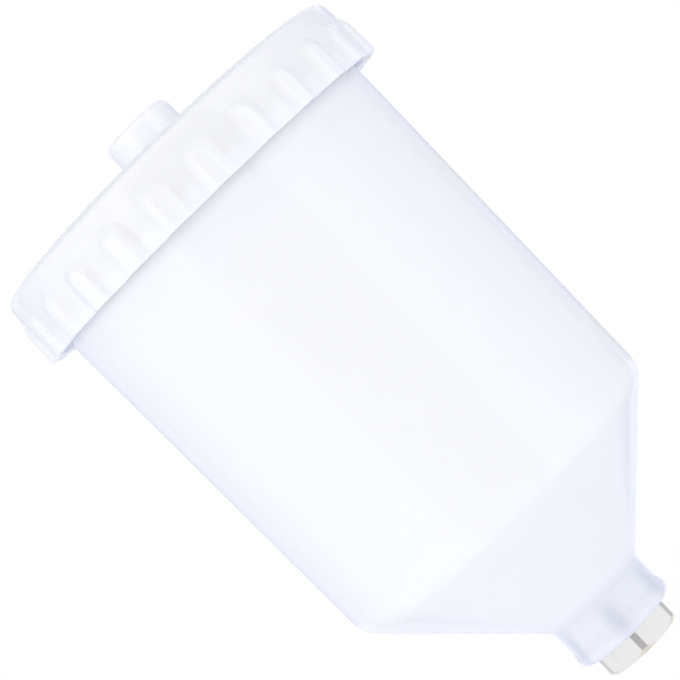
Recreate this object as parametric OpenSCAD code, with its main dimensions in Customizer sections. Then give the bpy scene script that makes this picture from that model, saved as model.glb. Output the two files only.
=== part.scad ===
// Gravity-feed paint cup with a screw lid, for a spray gun.
// The cup stands upright over its threaded insert. +Z runs up the cup's axis towards the lid,
// z = 0 is the insert's lower face, and a viewer of the front looks along +Y.

/* [Cup body] */
// Outer diameter of the body's mouth, under the lid
body_d = 87.2; // [78:0.2:96]
// How much smaller the body's radius is at the shoulder than at the mouth
body_draft = 1.2; // [0.2:0.1:2.4]
// Height of the straight body, from the shoulder's corner to the rim
body_h = 103.3; // [60:0.1:160]
// Thickness of the moulded wall
wall = 1.8; // [1.4:0.1:2.2]
// Angle between the cone's wall and the cup's axis
cone_angle = 45; // [40:1:50]
// Outer radius that rounds the shoulder between body and cone
shoulder_r = 7; // [3:0.5:10]
// Radius of the rounding on the rim's two edges
rim_round = 0.4; // [0.2:0.1:0.6]

/* [Neck] */
// Thickness of plastic over the corners of the insert's hexagon
neck_wall = 1.95; // [1.4:0.05:3]
// Height of the neck, from its lower face to the cone
neck_h = 10.4; // [8.9:0.1:14]
// How far the bead at the neck's lower end stands out
neck_bead = 0.5; // [0.2:0.1:0.9]
// Height of the bead's widest line above the neck's lower face
neck_bead_rise = 2.1; // [2:0.1:2.4]
// Radius that rounds the bead underneath
neck_edge_round = 1.8; // [0.6:0.1:1.8]
// Radius in the corner between neck and cone
neck_root_round = 1.4; // [0.4:0.1:2]
// Thickness of plastic over the insert's upper face, at the passage
funnel_cover = 0.9; // [0.6:0.1:1.2]

/* [Threaded insert] */
// Nominal diameter of the gun's thread
gun_thread_d = 16; // [13:1:17]
// Pitch of the gun's thread
gun_thread_pitch = 1.5; // [1:0.25:2]
// Length of the metal insert
insert_len = 12; // [11:0.1:13]
// Least wall of the insert round the thread, under its anchoring groove
insert_wall = 2; // [1.6:0.1:2.2]
// Hexagon size across its flats
hex_flats = 19; // [18.6:0.1:21]
// Diameter of the rounded lands at the hexagon's corners
hex_lands_d = 21.1; // [20.4:0.1:21.8]
// Height of the hexagon that shows below the neck
hex_h = 5.3; // [4:0.1:7]
// Height of the bevel round the hexagon's lower edge
hex_bevel = 1.2; // [0.6:0.1:1.6]
// Direction of one of the hexagon's corners, counted from +X
hex_turn = 28.5; // [0:0.5:60]
// Height of the round groove that anchors the hexagon in the plastic
anchor_w = 1.6; // [1:0.1:2]
// Height of the groove's lower edge above the neck's lower face
anchor_rise = 2.6; // [1.8:0.1:3]
// How tightly the plastic shrinks on the insert, in radius
insert_bite = 0.05; // [0.02:0.01:0.1]
// Bevel at the mouth of the threaded hole
thread_mouth_bevel = 0.6; // [0.3:0.1:0.8]
// Diameter of the paint passage
passage_d = 10; // [7:0.2:11]

/* [Neck seal] */
// Thickness of the sealing washer above the thread
neck_seal_t = 1.4; // [1:0.1:1.6]
// Depth of the recess that keeps the washer, beyond the thread's wall
seal_recess = 0.7; // [0.5:0.1:0.9]
// Play round the washer in its recess
neck_seal_play = 0.05; // [0.03:0.01:0.15]
// Metal left above the washer
seat_wall = 2.3; // [1.5:0.1:2.6]

/* [Lid] */
// Height of the lid's skirt with its top
lid_h = 17; // [15:0.1:22]
// Thickness of the lid's skirt
lid_wall = 2; // [1.6:0.1:2.6]
// Thickness of the lid's top
lid_top_t = 2; // [1.6:0.1:2.6]
// Radius on the lid's upper edge
lid_edge_round = 1.3; // [0.6:0.1:2]
// Height of the plain band that leans inwards, under the lid's top
lid_band_h = 5.5; // [4:0.1:7]
// How much the plain band leans inwards
lid_band_lean = 0.45; // [0.1:0.05:0.8]
// Height between the plain band and the tops of the grip ribs
rib_gap = 0.5; // [0.2:0.1:1]
// Number of grip ribs
rib_count = 24; // [12:1:30]
// Width of each grip rib at its foot
rib_w = 6.4; // [5:0.1:8]
// Width of each grip rib along its crest
rib_crest_w = 2.9; // [2:0.1:4]
// How far the ribs stand out at the lid's lower edge
rib_h = 1.3; // [0.8:0.1:2]
// How much less the ribs stand out near their tops
rib_lean = 0.25; // [0:0.05:0.4]
// Direction of the first rib, counted from +X
rib_turn = 6; // [0:0.5:15]
// Depth of the ring that holds the lid gasket
plug_h = 3; // [2:0.1:4]
// Thickness of the ring that holds the lid gasket
plug_w = 1.4; // [1:0.1:2]

/* [Lid thread] */
// Rise of the screw thread in one turn
thread_lead = 4; // [3.6:0.1:4.6]
// Height of each thread ridge above its wall
thread_depth = 1.8; // [1.5:0.1:2]
// Play between a ridge's crest and the wall that it faces
thread_play = 0.7; // [0.5:0.05:0.8]
// Axial play on the flank that takes the load
flank_play = 0.35; // [0.3:0.05:0.5]
// Width of a ridge at its root
ridge_root_w = 2.2; // [1.9:0.1:2.4]
// Width of a ridge at its crest
ridge_crest_w = 1; // [0.8:0.1:1.2]
// Turns of the ridge on the cup
cup_thread_turns = 1.5; // [1.25:0.25:2]
// Turns of the ridge inside the lid
lid_thread_turns = 1.25; // [0.75:0.25:1.5]
// Distance from the rim down to the middle of the ridge's upper end
rim_land = 3.6; // [3:0.1:4.5]
// Distance from the lid's lower edge up to the middle of its ridge
lid_edge_land = 2.2; // [1.8:0.1:3]

/* [Lid gasket] */
// Thickness of the flat gasket
gasket_t = 1.2; // [0.8:0.1:2]
// Play between the gasket and the faces it seals
gasket_play = 0.05; // [0.02:0.01:0.1]
// Play round the gasket's two edges
gasket_side_play = 0.3; // [0.2:0.05:0.5]

/* [Vent] */
// Outer diameter of the vent cap
cap_d = 17.4; // [16:0.1:22]
// Height of the vent cap's top above the lid
cap_rise = 8.5; // [8:0.1:12]
// Radius on the vent cap's upper edge
cap_round = 1.5; // [0.6:0.1:2]
// Wall of the vent cap
cap_wall = 2; // [1.4:0.1:2.2]
// Air gap between the cap's lower edge and the lid
cap_air_gap = 0.3; // [0.2:0.05:0.6]
// Play between the cap's inside and the bead on the vent boss
cap_play = 0.06; // [0.04:0.01:0.1]
// How far the bead stands out from the vent boss
boss_bead = 0.4; // [0.3:0.05:0.6]
// Height of the vent boss above the lid
boss_h = 4.6; // [3.6:0.1:4.8]
// Diameter of the vent hole through the boss
vent_d = 3.2; // [2.4:0.1:4]
// Thickness of the drip baffle's disc
baffle_t = 1; // [0.6:0.1:1.2]
// Play between the baffle and the pieces above and below it
baffle_play = 0.05; // [0.03:0.01:0.1]
// Length of the baffle's pin in the vent hole
baffle_pin_len = 2.6; // [1.5:0.1:4]
// Play round the baffle's pin
baffle_pin_play = 0.3; // [0.2:0.05:0.4]
// Width of the air grooves under the baffle
baffle_groove_w = 1.2; // [0.6:0.1:1.6]

/* [Hidden] */
$fn = 96;
// Small overlap that keeps a cut's face from lying in a wall's face
over = 0.5;
// Least turn between two points of a rounded corner
arc_step = 7.5;
// Largest distance between a rounded corner and its true arc
arc_error = 0.012;
// Turn between two sections of a thread ridge
ridge_step = 7.5;
// Turn over which a thread ridge rises out of its wall
ridge_fade = 30;
// Depth to which a thread ridge's root is sunk in its wall
ridge_sink = 0.4;
// Small rounding on moulded edges
edge_round = 0.4;
// How far a rib's blank stands above the crest that is turned on it
rib_spare = 0.2;
// Turn between two points of a rib's arch
rib_arc_step = 15;

// Insert
bore_r = gun_thread_d / 2 - 0.5413 * gun_thread_pitch;
anchor_r = bore_r + insert_wall;
land_r = hex_lands_d / 2;
passage_r = passage_d / 2;
recess_h = neck_seal_t + 2 * neck_seal_play;
recess_z = insert_len - seat_wall - recess_h;
anchor_z = hex_h + anchor_rise;

// Neck and cone
neck_low = hex_h;
neck_r = land_r + neck_wall;
neck_top = neck_low + neck_h;
cone_slope = tan(cone_angle);
cone_wall = wall / cos(cone_angle);
funnel_low = insert_len + funnel_cover;
funnel_break_r = hex_flats / 2;
funnel_break_z = neck_top + (funnel_break_r + cone_wall - neck_r) / cone_slope;

// Body
mouth_r = body_d / 2;
low_r = mouth_r - body_draft;
shoulder_z = neck_top + (low_r - neck_r) / cone_slope;
rim_z = shoulder_z + body_h;
inner_shoulder_z = neck_top + (low_r - wall + cone_wall - neck_r) / cone_slope;

// Screw thread
ridge_mid_r = mouth_r + (thread_depth + thread_play) / 2;
ridge_slope = (ridge_root_w - ridge_crest_w) / 2 / thread_depth;
ridge_mid_half = ridge_root_w / 2 - ridge_slope * (ridge_mid_r - mouth_r);
ridge_offset = 2 * ridge_mid_half + flank_play;
cup_ridge_low = rim_z - rim_land - thread_lead * cup_thread_turns;
mouth_low = min(cup_ridge_low - ridge_root_w, rim_z - lid_h);

// Lid
gasket_low = rim_z + gasket_play;
ceiling_z = gasket_low + gasket_t + gasket_play;
lid_top = ceiling_z + lid_top_t;
lid_low = lid_top - lid_h;
lid_in_r = mouth_r + thread_depth + thread_play;
lid_out_r = lid_in_r + lid_wall;
band_low = lid_top - lid_band_h;
rib_top = band_low - rib_gap;
lid_ridge_start = 360 * (lid_low + lid_edge_land - cup_ridge_low + ridge_offset) / thread_lead;
plug_out_r = mouth_r - wall - gasket_side_play * 2;

// Vent
boss_top = lid_top + boss_h;
vent_r = vent_d / 2;
cap_r = cap_d / 2;
cap_in_r = cap_r - cap_wall;
boss_bead_r = cap_in_r - cap_play;
boss_r = boss_bead_r - boss_bead;
baffle_low = boss_top + baffle_play;
baffle_top = baffle_low + baffle_t;
cap_low = lid_top + cap_air_gap;
cap_top = lid_top + cap_rise;
cap_ceiling = max(cap_top - cap_wall, baffle_top + baffle_play);

// Rounding an outline: each of its points is [radius, height, rounding]
function unit(v) = v / norm(v);
function flat(p) = [p[0], p[1]];
function turn_between(a, b) = let (d = b - a) d > 180 ? d - 360 : d < -180 ? d + 360 : d;
function corner_arc(centre, r, from, sweep) =
    let (step = max(arc_step, 2 * acos(1 - arc_error / r)), steps = max(2, ceil(abs(sweep) / step)))
    [for (i = [0:steps]) centre + r * [cos(from + sweep * i / steps), sin(from + sweep * i / steps)]];
function corner(before, here, after, r) =
    let (
        u = unit(before - here),
        w = unit(after - here),
        half = acos(u * w) / 2,
        centre = here + unit(u + w) * r / sin(half),
        first = here + u * r / tan(half) - centre,
        last = here + w * r / tan(half) - centre,
        from = atan2(first[1], first[0])
    )
    corner_arc(centre, r, from, turn_between(from, atan2(last[1], last[0])));
function rounded(points) =
    let (n = len(points))
    [for (i = [0:n - 1])
        let (p = points[i])
        each (p[2] == 0 ? [flat(p)]
            : corner(flat(points[(i + n - 1) % n]), flat(p), flat(points[(i + 1) % n]), p[2]))];

module turned(points) {
    rotate_extrude() polygon(rounded(points));
}

// One section of a thread ridge, four points from the root's lower edge to its upper edge.
// rise runs from 0, where the ridge starts inside its wall, to 1 at full height, and
// side is 1 for a ridge that stands out from its wall and -1 for one that stands inwards.
function ridge_section(root_r, side, rise, angle, z) =
    let (
        crest_r = root_r + side * (thread_depth * rise - ridge_sink * (1 - rise) / 2),
        sunk_r = root_r - side * ridge_sink,
        sunk_half = ridge_root_w / 2 + ridge_slope * ridge_sink,
        crest_half = ridge_crest_w / 2
    )
    [for (p = [[sunk_r, -sunk_half], [crest_r, -crest_half], [crest_r, crest_half], [sunk_r, sunk_half]])
        [p[0] * cos(angle), p[0] * sin(angle), z + p[1]]];

module thread_ridge(root_r, side, low_z, start, turns) {
    steps = ceil(360 * turns / ridge_step);
    sweep = 360 * turns;
    sections = [for (i = [0:steps])
        let (along = sweep * i / steps, rise = min(1, along / ridge_fade, (sweep - along) / ridge_fade))
        ridge_section(root_r, side, rise, start + along, low_z + thread_lead * along / 360)];
    points = [for (section = sections) each section];
    sides = [for (i = [0:steps - 1], k = [0:3])
        let (a = 4 * i + k, b = 4 * i + (k + 1) % 4)
        each [[a, b, b + 4], [a, b + 4, a + 4]]];
    last = 4 * steps;
    ends = [[0, 2, 1], [0, 3, 2], [last, last + 1, last + 2], [last, last + 2, last + 3]];
    faces = concat(sides, ends);
    polyhedron(points, side > 0 ? faces : [for (f = faces) [f[0], f[2], f[1]]]);
}

// The insert's outer shape, drawn in by shrink where the plastic grips it
module insert_shape(shrink) {
    corner_r = land_r - shrink;
    rotate([0, 0, hex_turn])
        intersection() {
            cylinder(r = (hex_flats / 2 - shrink) / cos(30), h = insert_len, $fn = 6);
            turned([
                [0, 0, 0],
                [corner_r - hex_bevel, 0, 0],
                [corner_r, hex_bevel, 0],
                [corner_r, anchor_z, 0],
                [anchor_r - shrink, anchor_z, 0],
                [anchor_r - shrink, anchor_z + anchor_w, 0],
                [corner_r, anchor_z + anchor_w, 0],
                [corner_r, insert_len, 0],
                [0, insert_len, 0]
            ]);
        }
}

module cup_body() {
    color("ghostwhite") {
        difference() {
            turned([
                [passage_r, neck_low, 0],
                [neck_r + neck_bead, neck_low, neck_edge_round],
                [neck_r + neck_bead, neck_low + neck_bead_rise, neck_root_round],
                [neck_r, neck_low + 2 * neck_bead_rise, neck_root_round],
                [neck_r, neck_top, neck_root_round],
                [low_r, shoulder_z, shoulder_r],
                [mouth_r, mouth_low, 0],
                [mouth_r, rim_z, rim_round],
                [mouth_r - wall, rim_z, rim_round],
                [mouth_r - wall, mouth_low, 0],
                [low_r - wall, inner_shoulder_z, shoulder_r - wall],
                [funnel_break_r, funnel_break_z, 2],
                [passage_r, funnel_low, edge_round]
            ]);
            insert_shape(insert_bite);
        }
        thread_ridge(mouth_r, 1, cup_ridge_low, 0, cup_thread_turns);
    }
}

module threaded_insert() {
    color("silver")
        difference() {
            insert_shape(0);
            translate([0, 0, -over]) cylinder(r = passage_r, h = insert_len + 2 * over);
            translate([0, 0, -over]) cylinder(r = bore_r, h = recess_z + 2 * over);
            translate([0, 0, recess_z]) cylinder(r = bore_r + seal_recess, h = recess_h);
            translate([0, 0, -over])
                cylinder(r1 = bore_r + thread_mouth_bevel + over, r2 = bore_r, h = thread_mouth_bevel + over);
        }
}

module neck_seal() {
    color("white")
        translate([0, 0, recess_z + neck_seal_play])
            difference() {
                cylinder(r = bore_r + seal_recess - neck_seal_play, h = neck_seal_t);
                translate([0, 0, -over]) cylinder(r = passage_r + neck_seal_play, h = neck_seal_t + 2 * over);
            }
}

// The outline of a grip rib at one depth, arched at its top: half is half its width there
function rib_outline(half) =
    let (arch_h = rib_top - rib_w / 2 - lid_low)
    [[-half, 0], [half, 0], for (turn = [0:rib_arc_step:180]) [half * cos(turn), arch_h + half * sin(turn)]];

// The blank of one grip rib, with sloping sides and a sloping arched top
module rib_blank() {
    side_slope = (rib_w - rib_crest_w) / 2 / rib_h;
    foot_r = lid_out_r - lid_wall / 2;
    blank_r = lid_out_r + rib_h + rib_spare;
    foot = rib_outline(rib_w / 2 + side_slope * lid_wall / 2);
    top = rib_outline(rib_crest_w / 2 - side_slope * rib_spare);
    n = len(foot);
    points = concat(
        [for (p = foot) [foot_r, p[0], lid_low + p[1]]],
        [for (p = top) [blank_r, p[0], lid_low + p[1]]]
    );
    sides = [for (i = [0:n - 1]) let (j = (i + 1) % n) each [[i, n + i, n + j], [i, n + j, j]]];
    polyhedron(points, concat(sides, [[for (i = [0:n - 1]) i], [for (i = [0:n - 1]) 2 * n - 1 - i]]));
}

module grip_ribs() {
    inner_r = lid_in_r + (lid_out_r - lid_in_r) / 4;
    intersection() {
        turned([
            [inner_r, lid_low, 0],
            [lid_out_r + rib_h, lid_low, edge_round],
            [lid_out_r + rib_h - rib_lean, band_low + lid_wall, 0],
            [inner_r, band_low + lid_wall, 0]
        ]);
        for (i = [0:rib_count - 1])
            rotate([0, 0, rib_turn + 360 * i / rib_count]) rib_blank();
    }
}

module lid() {
    color("ghostwhite") {
        turned([
            [vent_r, ceiling_z, 0],
            [plug_out_r - plug_w, ceiling_z, edge_round],
            [plug_out_r - plug_w, ceiling_z - plug_h, edge_round],
            [plug_out_r, ceiling_z - plug_h, edge_round],
            [plug_out_r, ceiling_z, 0],
            [lid_in_r, ceiling_z, 0],
            [lid_in_r, lid_low, edge_round],
            [lid_out_r, lid_low, edge_round],
            [lid_out_r, band_low, 0],
            [lid_out_r - lid_band_lean, lid_top, lid_edge_round],
            [boss_r, lid_top, edge_round],
            [boss_r, boss_top - 2.4 * boss_bead, 0],
            [boss_bead_r, boss_top - 1.4 * boss_bead, 0],
            [boss_r, boss_top, 0],
            [vent_r, boss_top, 0]
        ]);
        grip_ribs();
        thread_ridge(lid_in_r, -1, lid_low + lid_edge_land, lid_ridge_start, lid_thread_turns);
    }
}

module lid_gasket() {
    in_r = plug_out_r + gasket_side_play;
    out_r = lid_in_r - gasket_side_play;
    color("whitesmoke")
        turned([
            [in_r, gasket_low, 0],
            [out_r, gasket_low, 0],
            [out_r, gasket_low + gasket_t, 0],
            [in_r, gasket_low + gasket_t, 0]
        ]);
}

module vent_baffle() {
    disc_r = boss_r;
    pin_r = vent_r - baffle_pin_play;
    color("white")
        difference() {
            turned([
                [0, baffle_low - baffle_pin_len, 0],
                [pin_r, baffle_low - baffle_pin_len, edge_round],
                [pin_r, baffle_low, 0],
                [disc_r, baffle_low, 0],
                [disc_r, baffle_top, edge_round],
                [0, baffle_top, 0]
            ]);
            for (turn = [0:90:270])
                rotate([0, 0, turn])
                    translate([pin_r, -baffle_groove_w / 2, baffle_low - over])
                        cube([disc_r, baffle_groove_w, over + baffle_t / 2]);
        }
}

module vent_cap() {
    color("ghostwhite")
        turned([
            [0, cap_ceiling, 0],
            [cap_in_r, cap_ceiling, edge_round],
            [cap_in_r, cap_low, edge_round],
            [cap_r, cap_low, edge_round],
            [cap_r, cap_top, cap_round],
            [0, cap_top, 0]
        ]);
}

cup_body();
threaded_insert();
neck_seal();
lid();
lid_gasket();
vent_baffle();
vent_cap();
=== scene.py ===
from math import atan2, cos, hypot, pi, radians, sin

import bmesh
import bpy
from mathutils import Matrix, Vector


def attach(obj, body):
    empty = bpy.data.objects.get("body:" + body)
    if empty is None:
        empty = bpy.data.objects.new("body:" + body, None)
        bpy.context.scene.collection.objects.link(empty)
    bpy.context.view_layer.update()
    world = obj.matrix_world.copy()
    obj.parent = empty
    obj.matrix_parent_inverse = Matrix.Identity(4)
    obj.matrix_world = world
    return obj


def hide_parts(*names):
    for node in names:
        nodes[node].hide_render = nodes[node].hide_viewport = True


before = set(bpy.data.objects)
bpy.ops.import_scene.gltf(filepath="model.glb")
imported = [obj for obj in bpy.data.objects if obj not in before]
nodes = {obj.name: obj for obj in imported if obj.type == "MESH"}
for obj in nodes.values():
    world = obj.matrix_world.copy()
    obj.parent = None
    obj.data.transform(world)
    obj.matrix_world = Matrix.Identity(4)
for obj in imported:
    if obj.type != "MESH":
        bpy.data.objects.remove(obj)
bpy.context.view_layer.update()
print("frame loaded:", len(nodes), "nodes")

mm = 0.001  # metres
same = 0.001 * mm  # points closer than this are one point

# Camera: the photo's viewing angle, a level look at the cup with the lid turned to the upper left
view = {
    "eye": (-0.0008, -0.616, 0.1055),
    "aim": (-0.0008, 0.0, 0.0951),
    "roll": -44.42,  # degrees
    "lens": 148.0,  # millimetres, as is the sensor
    "sensor": 36.0,
    "clip": (0.01, 50.0),
}


def addObject(name, data):
    made = bpy.data.objects.new(name, data)
    bpy.context.scene.collection.objects.link(made)
    return made


def lookFrom(spot, aim):  # where a camera or lamp stands and turns to
    look = Vector(aim) - Vector(spot)
    return Matrix.Translation(spot) @ look.to_track_quat("-Z", "Y").to_matrix().to_4x4()


def makeCamera():
    data = bpy.data.cameras.new("photoCamera")
    data.lens = view["lens"]
    data.sensor_width = view["sensor"]
    data.clip_start, data.clip_end = view["clip"]
    camera = addObject("photoCamera", data)
    roll = Matrix.Rotation(radians(view["roll"]), 4, "Z")
    camera.matrix_world = lookFrom(view["eye"], view["aim"]) @ roll
    bpy.context.scene.camera = camera


makeCamera()
print("camera ready")


class Wire:  # one socket of a shader, so that sums are written as plain expressions
    tree = None  # the node tree that new nodes go into

    def __init__(self, socket):
        self.socket = socket

    # Any node: its settings first, then its sockets
    @classmethod
    def node(cls, kind, settings=None, inputs=None, out=0):
        made = cls.tree.nodes.new(kind)
        for key, value in (settings or {}).items():
            setattr(made, key, value)
        for key, value in (inputs or {}).items():
            if isinstance(value, Wire):
                cls.tree.links.new(value.socket, made.inputs[key])
            else:
                made.inputs[key].default_value = value
        return Wire(made.outputs[out])

    @classmethod
    def math(cls, operation, *values):
        return cls.node("ShaderNodeMath", {"operation": operation}, dict(enumerate(values)))

    @classmethod
    def mix(cls, factor, first, second):  # two colours
        return cls.node("ShaderNodeMix", {"data_type": "RGBA"}, {0: factor, 6: first, 7: second}, out=2)

    def parts(self):  # a vector's three numbers
        apart = self.node("ShaderNodeSeparateXYZ", None, {0: self}).socket.node
        return [Wire(output) for output in apart.outputs]

    def __add__(self, other):
        return self.math("ADD", self, other)

    def __radd__(self, other):
        return self.math("ADD", other, self)

    def __sub__(self, other):
        return self.math("SUBTRACT", self, other)

    def __rsub__(self, other):
        return self.math("SUBTRACT", other, self)

    def __mul__(self, other):
        return self.math("MULTIPLY", self, other)

    def __rmul__(self, other):
        return self.math("MULTIPLY", other, self)

    def __pow__(self, other):
        return self.math("POWER", self, other)


def newMaterial(name):
    material = bpy.data.materials.new(name)
    material.use_nodes = True
    material.node_tree.nodes.clear()
    Wire.tree = material.node_tree
    return material


def finishMaterial(material, shader):
    out = material.node_tree.nodes.new("ShaderNodeOutputMaterial")
    material.node_tree.links.new(shader.socket, out.inputs["Surface"])
    return material


def rgb(red, green, blue):
    return (red, green, blue, 1.0)


def smooth(value, low, high):  # 0 below low, 1 above high
    return Wire.node("ShaderNodeMapRange", {"interpolation_type": "SMOOTHSTEP"},
                     {"Value": value, "From Min": low, "From Max": high, "To Min": 0.0, "To Max": 1.0})


def ramp(value, low, high):  # the same, between heights in millimetres
    return smooth(value, low * mm, high * mm)


def place():  # a point's own place on the object, in metres
    return Wire.node("ShaderNodeTexCoord", out="Object")


def radiusOf(spot):  # distance from the cup's axis
    right, away = spot.parts()[:2]
    return (right * right + away * away) ** 0.5


def stretched(spot, scale):  # a place with each of its directions scaled on its own
    return Wire.node("ShaderNodeMapping", None, {"Vector": spot, "Scale": scale})


def noise(spot, scale, detail=2.0):
    return Wire.node("ShaderNodeTexNoise", None, {"Vector": spot, "Scale": scale, "Detail": detail})


def rings(along, scale):  # marks of turning, by one distance alone
    return Wire.node("ShaderNodeTexNoise", {"noise_dimensions": "1D"}, {"W": along, "Scale": scale})


def cells(spot, scale):  # distance from the middle of the nearest cell
    return Wire.node("ShaderNodeTexVoronoi", None, {"Vector": spot, "Scale": scale}, out="Distance")


def bumped(height, strength, distance):
    return Wire.node("ShaderNodeBump", None, {"Strength": strength, "Distance": distance, "Height": height})


# Studio: a white room and floor, softboxes, and five grey cards that only reflections see
studio = {
    "ambient": 1.3,
    "ambientColour": (0.976, 0.976, 1.005),
    "ceiling": 0.62,  # how bright the room is overhead, beside its walls
    "walls": (0.0, 0.45),  # heights between which it falls to that, as the sine of the angle
    "overhead": (0.5, 0.8),  # the same heights for what a reflection sees
    "mirroredCeiling": (0.72, 0.74, 0.78),
    "floorLevel": -0.06,  # the cup is held at its thread, over the floor
    "floorRadius": 0.32,
    "floorSides": 96,
    "floorColour": (0.92, 0.93, 0.99),
    "floorGlow": 0.8,  # share of plain white in the floor under the cup
    "floorLift": 0.53,  # the same share for the light that the floor throws back up
    "shadowReach": (0.12, 0.25),  # distances over which the floor turns to plain white
    "cards": [  # degrees from the front, positive to the right, and height as the sine of the angle
        {"from": -29, "to": 35, "top": 0.55, "colour": (0.3, 0.3, 0.33)},
        {"from": 80, "to": 146, "top": 0.55, "colour": (0.58, 0.6, 0.65)},
        {"from": -142, "to": -104, "top": 0.55, "colour": (0.7, 0.72, 0.76)},
        {"from": 146, "to": 190, "top": 0.12, "colour": (0.7, 0.72, 0.77)},
        {"from": -190, "to": -142, "top": 0.12, "colour": (0.82, 0.84, 0.88)},
    ],
    "cardEdge": 2.0,  # degrees of softness at a card's sides
    "cardTopEdge": 0.2,  # softness at its top, as a share of its height
    "cardEye": 0.02,  # height on the cup from which the cards are laid out on the floor
    "softboxAim": (0, 0, 0.08),
    "softboxes": [
        {"name": "keyBox", "turn": -48, "height": 0.25, "reach": 0.95, "size": 0.45,
         "power": 1.35, "colour": (1.0, 0.985, 0.97)},
        {"name": "fillBox", "turn": 52, "height": 0.25, "reach": 0.95, "size": 0.4,
         "power": 0.9, "colour": (1.0, 0.985, 0.97)},
        {"name": "backBox", "turn": 180, "height": 0.3, "reach": 0.9, "size": 0.45,
         "power": 0.4, "colour": (0.97, 0.985, 1.0)},
    ],
    "snoot": {"spot": (-0.1, -0.57, 0.26), "aim": (0.003, 0, 0.158), "cone": 3.0, "blend": 0.5,
              "size": 0.01, "power": 1.4},
    "bounces": 8,  # light has to find its way about in milky walls
}


def rayKind(kind):
    return Wire.node("ShaderNodeLightPath", out=kind)


def seenDirectly():  # 1 where the camera, a reflection or a clear piece looks straight at this
    looked = Wire.math("MAXIMUM", rayKind("Is Camera Ray"), rayKind("Is Glossy Ray"))
    return Wire.math("MAXIMUM", looked, rayKind("Is Transmission Ray"))


def mirrored(aim):  # what a reflection sees in each direction: white, but for the cards and the ceiling
    right, away, up = aim.parts()
    turn = Wire.math("ARCTAN2", right, away * -1.0) * (180 / pi)
    height = Wire.math("ABSOLUTE", up)
    glossy = rayKind("Is Glossy Ray")
    side = studio["cardEdge"]
    rim = studio["cardTopEdge"]
    colour = rgb(1, 1, 1)
    for card in studio["cards"]:
        inside = smooth(turn, card["from"] - side, card["from"] + side)
        inside = inside * (1 - smooth(turn, card["to"] - side, card["to"] + side))
        inside = inside * (1 - smooth(height, card["top"] * (1 - rim), card["top"] * (1 + rim)))
        colour = Wire.mix(inside * glossy, colour, rgb(*card["colour"]))
    return Wire.mix(smooth(up, *studio["overhead"]) * glossy, colour, rgb(*studio["mirroredCeiling"]))


def makeWorld():
    world = bpy.data.worlds.new("studio")
    world.use_nodes = True
    world.node_tree.nodes.clear()
    Wire.tree = world.node_tree
    aim = Wire.node("ShaderNodeTexCoord", out="Generated")
    steep = smooth(Wire.math("ABSOLUTE", aim.parts()[2]), *studio["walls"])
    level = studio["ambient"] * (1 - steep * (1 - studio["ceiling"]))
    ambient = rgb(*studio["ambientColour"])
    lit = Wire.node("ShaderNodeBackground", None, {"Color": ambient, "Strength": level})
    seen = Wire.node("ShaderNodeBackground", None, {"Color": mirrored(aim), "Strength": 1.0})
    both = Wire.node("ShaderNodeMixShader", None, {0: seenDirectly(), 1: lit, 2: seen})
    out = world.node_tree.nodes.new("ShaderNodeOutputWorld")
    world.node_tree.links.new(both.socket, out.inputs["Surface"])
    world.cycles.sampling_method = "NONE"  # an even light needs no aimed rays, and the cards stay exact
    bpy.context.scene.world = world


def makeFloor():
    work = bmesh.new()
    bmesh.ops.create_circle(work, cap_ends=True, segments=studio["floorSides"],
                            radius=studio["floorRadius"])
    bmesh.ops.translate(work, vec=(0, 0, studio["floorLevel"]), verts=work.verts)
    mesh = bpy.data.meshes.new("floor")
    work.to_mesh(mesh)
    work.free()
    floor = addObject("floor", mesh)
    material = newMaterial("floorPaper")
    paper = Wire.node("ShaderNodeBsdfDiffuse", None, {"Color": rgb(*studio["floorColour"])})
    eye = (0, 0, studio["cardEye"])
    below = Wire.node("ShaderNodeVectorMath", {"operation": "SUBTRACT"}, {0: place(), 1: eye})
    aim = Wire.node("ShaderNodeVectorMath", {"operation": "NORMALIZE"}, {0: below})
    glow = Wire.node("ShaderNodeEmission", None, {"Color": mirrored(aim), "Strength": 1.0})
    distance = Wire.node("ShaderNodeVectorMath", {"operation": "LENGTH"}, {0: place()}, out="Value")
    far = smooth(distance, *studio["shadowReach"])
    white = studio["floorGlow"] + far * (1 - studio["floorGlow"])
    seen = seenDirectly()
    share = seen * white + (1 - seen) * studio["floorLift"]
    both = Wire.node("ShaderNodeMixShader", None, {0: share, 1: paper, 2: glow})
    material.cycles.emission_sampling = "NONE"
    mesh.materials.append(finishMaterial(material, both))


def makeSoftbox(box):
    data = bpy.data.lights.new(box["name"], "AREA")
    data.shape = "SQUARE"
    data.size = box["size"]
    data.energy = box["power"]
    data.color = box["colour"]
    light = addObject(box["name"], data)
    angle = radians(box["turn"])
    spot = (sin(angle) * box["reach"], -cos(angle) * box["reach"], box["height"])
    light.matrix_world = lookFrom(spot, studio["softboxAim"])
    light.visible_glossy = False


def makeSnoot(snoot):  # a narrow lamp for the vent cap, which the lid hides from the low light
    data = bpy.data.lights.new("capSnoot", "SPOT")
    data.energy = snoot["power"]
    data.spot_size = radians(snoot["cone"])
    data.spot_blend = snoot["blend"]
    data.shadow_soft_size = snoot["size"]
    light = addObject("capSnoot", data)
    light.matrix_world = lookFrom(snoot["spot"], snoot["aim"])
    light.visible_glossy = False


makeWorld()
makeFloor()
makeSnoot(studio["snoot"])
for box in studio["softboxes"]:
    makeSoftbox(box)
bpy.context.scene.cycles.diffuse_bounces = studio["bounces"]
print("studio ready")

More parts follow.
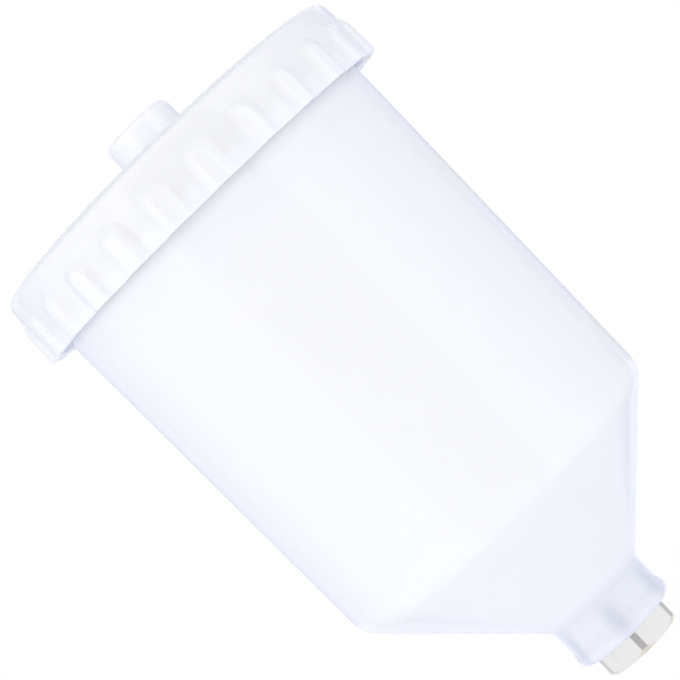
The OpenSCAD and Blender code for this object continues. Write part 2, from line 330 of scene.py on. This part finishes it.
# Milky plastic of the cup, lid and cap
plastic = {
    "thin": (0.945, 0.948, 0.996),  # a plain wall
    "deepAndShaded": (0.902, 0.906, 0.996),  # a deeper, bluer tone, used for random clouds of tone and for painted shade
    "paintedLight": (0.99, 0.99, 1.0),  # painted light: a paler tone under the lid, inside it and on the cap, for light through the milky walls
    "skin": (0.88, 0.92, 1.0),  # tint of the clear skin, which deepens where the wall turns away
    "skinWeight": 0.22,
    "skinIndex": 1.03,
    "roughness": 0.09,
    "cloudScale": 26.0,  # slow changes of the depth
    "cloudDepth": 0.3,
    "flowScale": 120.0,  # marks of the flowing plastic, drawn out along the axis
    "flowStretch": (1.0, 1.0, 0.12),
    "flowRoughness": 0.04,  # how much they change the gloss
    "flowHeight": 2.0,  # beside 1 for the grain
    "grainScale": 1100.0,
    "bump": 0.05,
    "bumpHeight": 0.0002,
    "speck": (0.62, 0.62, 0.66),
    "speckWeight": 0.5,
    "speckScale": 38.0,
    "speckSize": (0.005, 0.009),  # in cells
    "speckPatches": (0.5, 0.56),  # values of the cloud above which there are specks
}


def milkyPlastic(name, look, paintedShadeOf, tint):
    material = newMaterial(name)
    spot = place()
    cloud = noise(spot, plastic["cloudScale"], detail=1.0)
    flow = noise(stretched(spot, plastic["flowStretch"]), plastic["flowScale"])
    grain = noise(spot, plastic["grainScale"], detail=1.0)
    # painted shade from the piece's own mask, plus random clouds of deeper tone
    depth = paintedShadeOf(spot) + (cloud - 0.5) * plastic["cloudDepth"]
    colour = Wire.mix(depth, rgb(*plastic["thin"]), rgb(*plastic["deepAndShaded"]))
    colour = tint(spot, colour)
    speck = 1 - smooth(cells(spot, plastic["speckScale"]), *plastic["speckSize"])
    speck = speck * smooth(cloud, *plastic["speckPatches"]) * plastic["speckWeight"]
    colour = Wire.mix(speck, colour, rgb(*plastic["speck"]))
    shader = Wire.node("ShaderNodeBsdfPrincipled", {"subsurface_method": "RANDOM_WALK"}, {
        "Base Color": colour,
        "Roughness": plastic["roughness"] + (flow - 0.5) * plastic["flowRoughness"],
        "IOR": look["index"],
        "Subsurface Weight": 1.0,
        "Subsurface Radius": (1.0, 1.0, 1.0),
        "Subsurface Scale": look["scatter"],
        "Coat Weight": plastic["skinWeight"],
        "Coat IOR": plastic["skinIndex"],
        "Coat Tint": rgb(*plastic["skin"]),
        "Normal": bumped(grain + flow * plastic["flowHeight"], plastic["bump"], plastic["bumpHeight"]),
    })
    return finishMaterial(material, shader)


hexagon = {
    "corners": 6,
    "turn": 28.5,  # direction of one corner, in degrees from +X
}


def overCorners(spot, power):  # 1 at the hexagon's corners, 0 at its flats; more power, narrower stripes
    right, away = spot.parts()[:2]
    turn = (Wire.math("ARCTAN2", away, right) - radians(hexagon["turn"])) * hexagon["corners"]
    return (Wire.math("COSINE", turn) * 0.5 + 0.5) ** power


cupLook = {  # heights in millimetres
    "index": 1.5,
    "scatter": 0.0010,  # metres that light travels inside the wall
    "shoulder": (37, 54),  # painted shade: deeper and bluer from here down, over the cone and neck that face down
    "litUnderLid": (128, 133),  # painted light: paler from here up, where the wall goes in behind the lid, against its shadow
    "insertShade": (0.812, 0.83, 0.87),  # painted shade: the neck darker where the metal insert lies behind the milky wall
    "metalTop": (14, 19.5),
    "overCorner": (0.72, 0.735, 0.785),  # painted shade, darkest over the hexagon's corners
    "cornerPower": 5.0,
    "cornerTop": (11.5, 16.5),
    "cornerFoot": (5.5, 8.5),
    "cornerFade": 0.35,  # how much weaker that is at the foot
}


# painted shade on the downward-facing cone and neck
def cupPaintedShade(spot):
    return 1 - ramp(spot.parts()[2], *cupLook["shoulder"])


def cupTint(spot, colour):
    up = spot.parts()[2]
    foot = 1 - cupLook["cornerFade"] * (1 - ramp(up, *cupLook["cornerFoot"]))
    # painted shade of the insert's corners behind the neck
    corner = overCorners(spot, cupLook["cornerPower"]) * (1 - ramp(up, *cupLook["cornerTop"])) * foot
    # painted light on the wall under the lid, against the lid's shadow
    colour = Wire.mix(ramp(up, *cupLook["litUnderLid"]), colour, rgb(*plastic["paintedLight"]))
    # painted shade of the insert behind the neck
    colour = Wire.mix(1 - ramp(up, *cupLook["metalTop"]), colour, rgb(*cupLook["insertShade"]))
    return Wire.mix(corner, colour, rgb(*cupLook["overCorner"]))


lidLook = {  # heights in millimetres
    "index": 1.7,
    "scatter": 0.0016,
    # painted shade: the lid a little deeper and bluer all over than the cup
    "depth": 0.2,
    "bandShade": 0.35,  # more painted shade in the plain band under the lid's top
    "band": (146, 147.5),
    "outside": (0.0463, 0.0466),  # radius between the skirt's inside and outside, in metres
    # painted shade: a bluer tone over the whole lid, at half strength
    "shade": (0.94, 0.953, 1.0),
    "shadeWeight": 0.5,
    # painted shade on the skirt's lower part, against the light from below
    "foot": (0.87, 0.875, 0.965),
    "footShadeWeight": 0.7,
    "footTop": (135.5, 141),
    "edge": (0.9, 0.905, 0.955),  # painted shade where the lid's top turns into its side
    "edgeFoot": (149.5, 151.5),
}


# painted shade over the lid, more in its plain band
def lidPaintedShade(spot):
    return lidLook["depth"] + lidLook["bandShade"] * ramp(spot.parts()[2], *lidLook["band"])


def lidTint(spot, colour):
    up = spot.parts()[2]
    outside = smooth(radiusOf(spot), *lidLook["outside"])
    # painted shade, fading up the skirt from its lower edge
    foot = (1 - ramp(up, *lidLook["footTop"])) * lidLook["footShadeWeight"]
    # painted shade on the rounded top edge, outside only
    edge = ramp(up, *lidLook["edgeFoot"]) * outside
    # painted shade over the whole lid
    colour = Wire.mix(lidLook["shadeWeight"], colour, rgb(*lidLook["shade"]))
    colour = Wire.mix(foot, colour, rgb(*lidLook["foot"]))
    colour = Wire.mix(edge, colour, rgb(*lidLook["edge"]))
    # painted light on the lid's inside
    return Wire.mix(outside, rgb(*plastic["paintedLight"]), colour)


capLook = {  # heights in millimetres
    "index": 1.75,
    "scatter": 0.0004,
    "depth": 0.2,  # painted shade, deepest at the cap's top
    "heights": (152, 161),
    # share of painted light that makes the cap paler
    "paintedLightWeight": 0.95,
}


def capPaintedShade(spot):
    return capLook["depth"] * ramp(spot.parts()[2], *capLook["heights"])


def capTint(spot, colour):
    # painted light: the cap almost all in the paler tone
    return Wire.mix(capLook["paintedLightWeight"], colour, rgb(*plastic["paintedLight"]))


# Metal of the insert: bright plating, with turned lands and bevel at the hexagon's corners
metal = {
    "plate": (0.84, 0.835, 0.845),
    "roughness": 0.15,
    "land": (0.83, 0.81, 0.79),
    "landRoughness": 0.5,
    "landFoot": 0.0105,  # radius at which a land starts
    "landEdge": 0.00003,
    "bare": (0.74, 0.66, 0.57),  # where the bevel is cut through the plating
    "bareWeight": 0.9,
    "barePower": 3,
    "bevelFoot": 0.00935,  # radius at which the bevel starts, on the lower face
    "bevelEdge": (0.00005, 0.00016),
    "bevelTop": (0.0012, 0.0014),
    "drawnScale": 2600.0,  # marks of drawing, along the axis
    "drawnStretch": (1.0, 1.0, 0.05),
    "ringScale": 9000.0,  # marks of turning, on the lands and the bevel
    "markRoughness": 0.12,
    "stain": (0.6, 0.58, 0.57),
    "stainWeight": 0.15,
    "stainScale": 240.0,
    "stainPatches": (0.55, 0.8),
    "dullPatches": (0.5, 0.8),  # where a stain also dulls the gloss
    "dullRoughness": 0.1,
    "bump": 0.18,
    "bumpHeight": 0.00005,
}


def brightMetal(name):
    material = newMaterial(name)
    spot = place()
    up = spot.parts()[2]
    radius = radiusOf(spot)
    offBevel = Wire.math("ABSOLUTE", radius - up - metal["bevelFoot"])
    bevel = (1 - smooth(offBevel, *metal["bevelEdge"])) * (1 - smooth(up, *metal["bevelTop"]))
    land = smooth(radius, metal["landFoot"], metal["landFoot"] + metal["landEdge"])
    turned = Wire.math("MAXIMUM", bevel, land)
    drawn = noise(stretched(spot, metal["drawnStretch"]), metal["drawnScale"])
    marks = drawn * (1 - turned) + rings(radius + up, metal["ringScale"]) * turned
    stain = noise(spot, metal["stainScale"], detail=3.0)
    bare = bevel * overCorners(spot, metal["barePower"]) * metal["bareWeight"]
    stained = smooth(stain, *metal["stainPatches"]) * metal["stainWeight"]
    colour = Wire.mix(land, rgb(*metal["plate"]), rgb(*metal["land"]))
    colour = Wire.mix(bare, colour, rgb(*metal["bare"]))
    colour = Wire.mix(stained, colour, rgb(*metal["stain"]))
    roughness = metal["roughness"] + land * (metal["landRoughness"] - metal["roughness"])
    roughness = roughness + (marks - 0.5) * metal["markRoughness"]
    roughness = roughness + smooth(stain, *metal["dullPatches"]) * metal["dullRoughness"]
    shader = Wire.node("ShaderNodeBsdfPrincipled", None, {
        "Base Color": colour,
        "Metallic": 1.0,
        "Roughness": roughness,
        "Normal": bumped(marks, metal["bump"], metal["bumpHeight"]),
    })
    return finishMaterial(material, shader)


# Foam of the lid's gasket
foam = {
    "clean": (0.9, 0.9, 0.88),
    "worn": (0.84, 0.84, 0.82),
    "wornScale": 90.0,
    "wornPatches": (0.35, 0.7),
    "pore": (0.7, 0.7, 0.68),
    "poreWeight": 0.35,
    "poreScale": 2600.0,
    "poreSize": (0.1, 0.5),
    "roughness": 0.75,
    "patchRoughness": 0.2,
    "bump": 0.5,
    "bumpHeight": 0.0001,
}


def softFoam(name):
    material = newMaterial(name)
    spot = place()
    pores = cells(spot, foam["poreScale"])
    patches = noise(spot, foam["wornScale"])
    dark = (1 - smooth(pores, *foam["poreSize"])) * foam["poreWeight"]
    colour = Wire.mix(smooth(patches, *foam["wornPatches"]), rgb(*foam["clean"]), rgb(*foam["worn"]))
    colour = Wire.mix(dark, colour, rgb(*foam["pore"]))
    shader = Wire.node("ShaderNodeBsdfPrincipled", None, {
        "Base Color": colour,
        "Roughness": foam["roughness"] + patches * foam["patchRoughness"],
        "Normal": bumped(pores, foam["bump"], foam["bumpHeight"]),
    })
    return finishMaterial(material, shader)


# Nylon of the seal in the neck and the baffle under the vent cap
nylon = {
    "light": (0.93, 0.92, 0.88),
    "dark": (0.87, 0.86, 0.81),
    "patchScale": 160.0,
    "ringScale": 5200.0,
    "roughness": 0.38,
    "ringRoughness": 0.18,
    "bump": 0.25,
    "bumpHeight": 0.00005,
}


def turnedNylon(name):
    material = newMaterial(name)
    spot = place()
    turned = rings(radiusOf(spot), nylon["ringScale"])
    patches = noise(spot, nylon["patchScale"])
    shader = Wire.node("ShaderNodeBsdfPrincipled", None, {
        "Base Color": Wire.mix(patches, rgb(*nylon["light"]), rgb(*nylon["dark"])),
        "Roughness": nylon["roughness"] + turned * nylon["ringRoughness"],
        "Normal": bumped(turned + patches, nylon["bump"], nylon["bumpHeight"]),
    })
    return finishMaterial(material, shader)


def dress(nodeName, material):
    data = nodes[nodeName].data
    data.materials.clear()
    data.materials.append(material)


# Shared by the new pieces
def profileLoop(corners):  # a closed section of (radius, height, rounding) in millimetres, ready to spin
    work = bmesh.new()
    points = [work.verts.new((radius * mm, 0.0, height * mm)) for radius, height, rounding in corners]
    for first, second in zip(points, points[1:] + points[:1]):
        work.edges.new((first, second))
    for rounding in sorted({corner[2] for corner in corners if corner[2]}):
        chosen = [point for point, corner in zip(points, corners) if corner[2] == rounding]
        bmesh.ops.bevel(work, geom=chosen, offset=rounding * mm, offset_type="OFFSET", affect="VERTICES",
                        segments=5, profile=0.5, material=-1)
    return work


def spinRound(work, steps, sectors):  # one sector is spun and then copied round, which is quicker
    pitch = 2 * pi / sectors
    section = work.verts[:] + work.edges[:]
    bmesh.ops.spin(work, geom=section, cent=(0, 0, 0), axis=(0, 0, 1), angle=pitch, steps=steps // sectors)
    sector = work.verts[:] + work.edges[:] + work.faces[:]
    bmesh.ops.spin(work, geom=sector, cent=(0, 0, 0), axis=(0, 0, 1), angle=pitch * (sectors - 1),
                   steps=sectors - 1, use_duplicate=True)
    bmesh.ops.remove_doubles(work, verts=work.verts[:], dist=same)


def joinInto(work, part):  # adds a part made in a bmesh of its own
    mesh = bpy.data.meshes.new("part")
    part.to_mesh(mesh)
    part.free()
    work.from_mesh(mesh)
    bpy.data.meshes.remove(mesh)


def widen(point, reach):  # moves a point out from the axis, or in
    wider = 1 + reach / hypot(point.co.x, point.co.y)
    point.co.x *= wider
    point.co.y *= wider


def finishPiece(work, name, material, node, body, sharp):  # sharp: the least angle of a sharp edge
    bmesh.ops.recalc_face_normals(work, faces=work.faces[:])
    for face in work.faces:
        face.smooth = True
    for edge in work.edges:
        edge.smooth = edge.calc_face_angle(0) < radians(sharp)
    mesh = bpy.data.meshes.new(name)
    work.to_mesh(mesh)
    work.free()
    mesh.materials.append(material)
    piece = addObject(name, mesh)
    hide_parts(node)
    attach(piece, body)
    print(name, "made:", len(mesh.polygons), "faces")


# Lid: the section and thread of its solid, with a softer top edge and ribs that swell out of the skirt
lid = {
    "section": [  # radius, height, rounding, in millimetres
        (1.6, 150.2, 0), (39.8, 150.2, 0.4), (39.8, 147.2, 0.4), (41.2, 147.2, 0.4), (41.2, 150.2, 0),
        (46.1, 150.2, 0), (46.1, 135.2, 0.4), (48.1, 135.2, 0.41), (48.1, 146.7, 0), (47.74, 150.9, 1.4),
        (42.8, 152.1, 2.6), (6.24, 152.2, 0.42), (6.24, 155.84, 0), (6.64, 156.24, 0), (6.24, 156.8, 0),
        (1.6, 156.8, 0),
    ],
    "steps": 720,
    "wall": (0.048, 0.009),  # the skirt's outside is the edge beyond this radius, longer than this
    "rows": 34,  # up that edge
    "skirt": (0.0474, 0.1468),  # least radius and greatest height of the points that the ribs move
    "ribs": 24,
    "ribTurn": 6,  # degrees from +X to the first rib
    "ribRadius": 0.0481,
    "ribHalf": 0.0043,
    "ribFlank": 0.0032,  # width over which a rib rises
    "ribHeight": 0.0013,
    "ribLean": 0.00025,  # how much lower a rib is at its top than at its foot
    "ribFoot": 0.1352,
    "ribTop": 0.1466,
    "sharp": 32,
}
lidThread = {
    "root": 0.0465,  # a little inside the skirt's wall
    "crest": 0.0443,
    "fadedCrest": 0.0462,  # at each end, where it has sunk into the wall
    "rootWidth": 0.0026,
    "crestWidth": 0.001,
    "lead": 0.004,
    "middle": 0.1374,
    "start": -16.5,  # degrees from +X
    "turns": 1.25,
    "fade": 30,  # degrees over which each end dies away
    "steps": 300,
}


def ribRise(turn, height):  # how far the skirt stands out, by the angle and the height
    pitch = 2 * pi / lid["ribs"]
    across = abs((turn - radians(lid["ribTurn"]) + pitch / 2) % pitch - pitch / 2) * lid["ribRadius"]
    archEye = lid["ribTop"] - lid["ribHalf"]
    inside = lid["ribHalf"] - (hypot(across, height - archEye) if height > archEye else across)
    part = min(max(inside / lid["ribFlank"], 0), 1)
    lean = lid["ribLean"] * (height - lid["ribFoot"]) / (lid["ribTop"] - lid["ribFoot"])
    return (lid["ribHeight"] - lean) * part * part * (3 - 2 * part)


def makeRidge(thread):  # a screw thread that stands on a wall, fading at both ends
    work = bmesh.new()
    root = thread["rootWidth"] / 2
    crest = thread["crestWidth"] / 2
    corners = [(thread["root"], -root), (thread["root"], root),
               (thread["crest"], crest), (thread["crest"], -crest)]
    start = Matrix.Rotation(radians(thread["start"]), 3, "Z")
    points = [work.verts.new(start @ Vector((radius, 0, thread["middle"] + up))) for radius, up in corners]
    face = work.faces.new(points)
    rise = thread["lead"] * thread["turns"] / thread["steps"]
    bmesh.ops.spin(work, geom=[face] + face.edges[:] + points, cent=(0, 0, 0), axis=(0, 0, 1),
                   dvec=(0, 0, rise), angle=2 * pi * thread["turns"], steps=thread["steps"])
    for point in work.verts:
        radius = hypot(point.co.x, point.co.y)
        if radius < (thread["root"] + thread["crest"]) / 2:
            along = (point.co.z - thread["middle"]) / thread["lead"] * 360
            ends = min(along, 360 * thread["turns"] - along) / thread["fade"]
            widen(point, (thread["fadedCrest"] - radius) * (1 - min(max(ends, 0), 1)))
    return work


def makeLid(material):
    work = profileLoop(lid["section"])
    radius, length = lid["wall"]
    wall = [edge for edge in work.edges
            if edge.calc_length() > length and min(point.co.x for point in edge.verts) > radius]
    bmesh.ops.subdivide_edges(work, edges=wall, cuts=lid["rows"])
    spinRound(work, lid["steps"], lid["ribs"])
    radius, height = lid["skirt"]
    for point in work.verts:
        if hypot(point.co.x, point.co.y) > radius and point.co.z < height:
            widen(point, ribRise(atan2(point.co.y, point.co.x), point.co.z))
    joinInto(work, makeRidge(lidThread))
    finishPiece(work, "lidShell", material, "lid", "screw_lid", lid["sharp"])


# Insert: its solid with a real M16 x 1.5 thread cut in the bore
insert = {
    "bore": (0.0079, 0.00821),  # the plain bore and its mouth lie within this radius and height
    "face": 0.0001,  # the lower face lies under this height
    "crest": 0.007188,
    "root": 0.008,
    "pitch": 0.0015,
    "turn": [(0, 0), (0.25, 0), (0.5625, 1), (0.6875, 1)],  # height in pitches, depth from crest to root
    "laps": (-1, 7),
    "cuts": ((0.0006, 1), (0.0081, -1)),  # heights between which the thread stays
    "rims": ((-0.0001, 0.0007), (0.008, 0.0083)),  # heights of its joins with the mouth and the recess
    "steps": 128,  # leaves no point of the thread just at the height of a cut
    "sharp": 20,
}


def makeThread():
    work = bmesh.new()
    points = []
    for lap in range(*insert["laps"]):
        for up, depth in insert["turn"]:
            radius = insert["crest"] + depth * (insert["root"] - insert["crest"])
            points.append(work.verts.new((radius, 0, (lap + up) * insert["pitch"])))
    for first, second in zip(points, points[1:]):
        work.edges.new((first, second))
    bmesh.ops.spin(work, geom=work.verts[:] + work.edges[:], cent=(0, 0, 0), axis=(0, 0, 1),
                   dvec=(0, 0, insert["pitch"] / insert["steps"]), angle=2 * pi, steps=insert["steps"])
    bmesh.ops.remove_doubles(work, verts=work.verts[:], dist=same)
    for level, side in insert["cuts"]:
        whole = work.verts[:] + work.edges[:] + work.faces[:]
        bmesh.ops.bisect_plane(work, geom=whole, plane_co=(0, 0, level), plane_no=(0, 0, side),
                               clear_inner=True)
    return work


def makeInsert(material):
    work = bmesh.new()
    work.from_mesh(nodes["threaded_insert"].data)
    bmesh.ops.remove_doubles(work, verts=work.verts[:], dist=same)
    radius, height = insert["bore"]
    bore = [face for face in work.faces
            if all(hypot(point.co.x, point.co.y) < radius and point.co.z < height for point in face.verts)
            and max(point.co.z for point in face.verts) > insert["face"]]
    bmesh.ops.delete(work, geom=bore, context="FACES")
    joinInto(work, makeThread())
    for low, high in insert["rims"]:
        rims = [edge for edge in work.edges if edge.is_boundary
                and all(low < point.co.z < high for point in edge.verts)]
        bmesh.ops.bridge_loops(work, edges=rims)
    finishPiece(work, "insertShell", material, "threaded_insert", "cup", insert["sharp"])


dress("cup_body", milkyPlastic("cupPlastic", cupLook, cupPaintedShade, cupTint))
makeLid(milkyPlastic("lidPlastic", lidLook, lidPaintedShade, lidTint))
dress("vent_cap", milkyPlastic("capPlastic", capLook, capPaintedShade, capTint))
makeInsert(brightMetal("insertMetal"))
dress("lid_gasket", softFoam("gasketFoam"))
sealNylon = turnedNylon("sealNylon")
for nodeName in ("neck_seal", "vent_baffle"):
    dress(nodeName, sealNylon)
print("materials ready")

bpy.context.scene.view_settings.view_transform = "Standard"
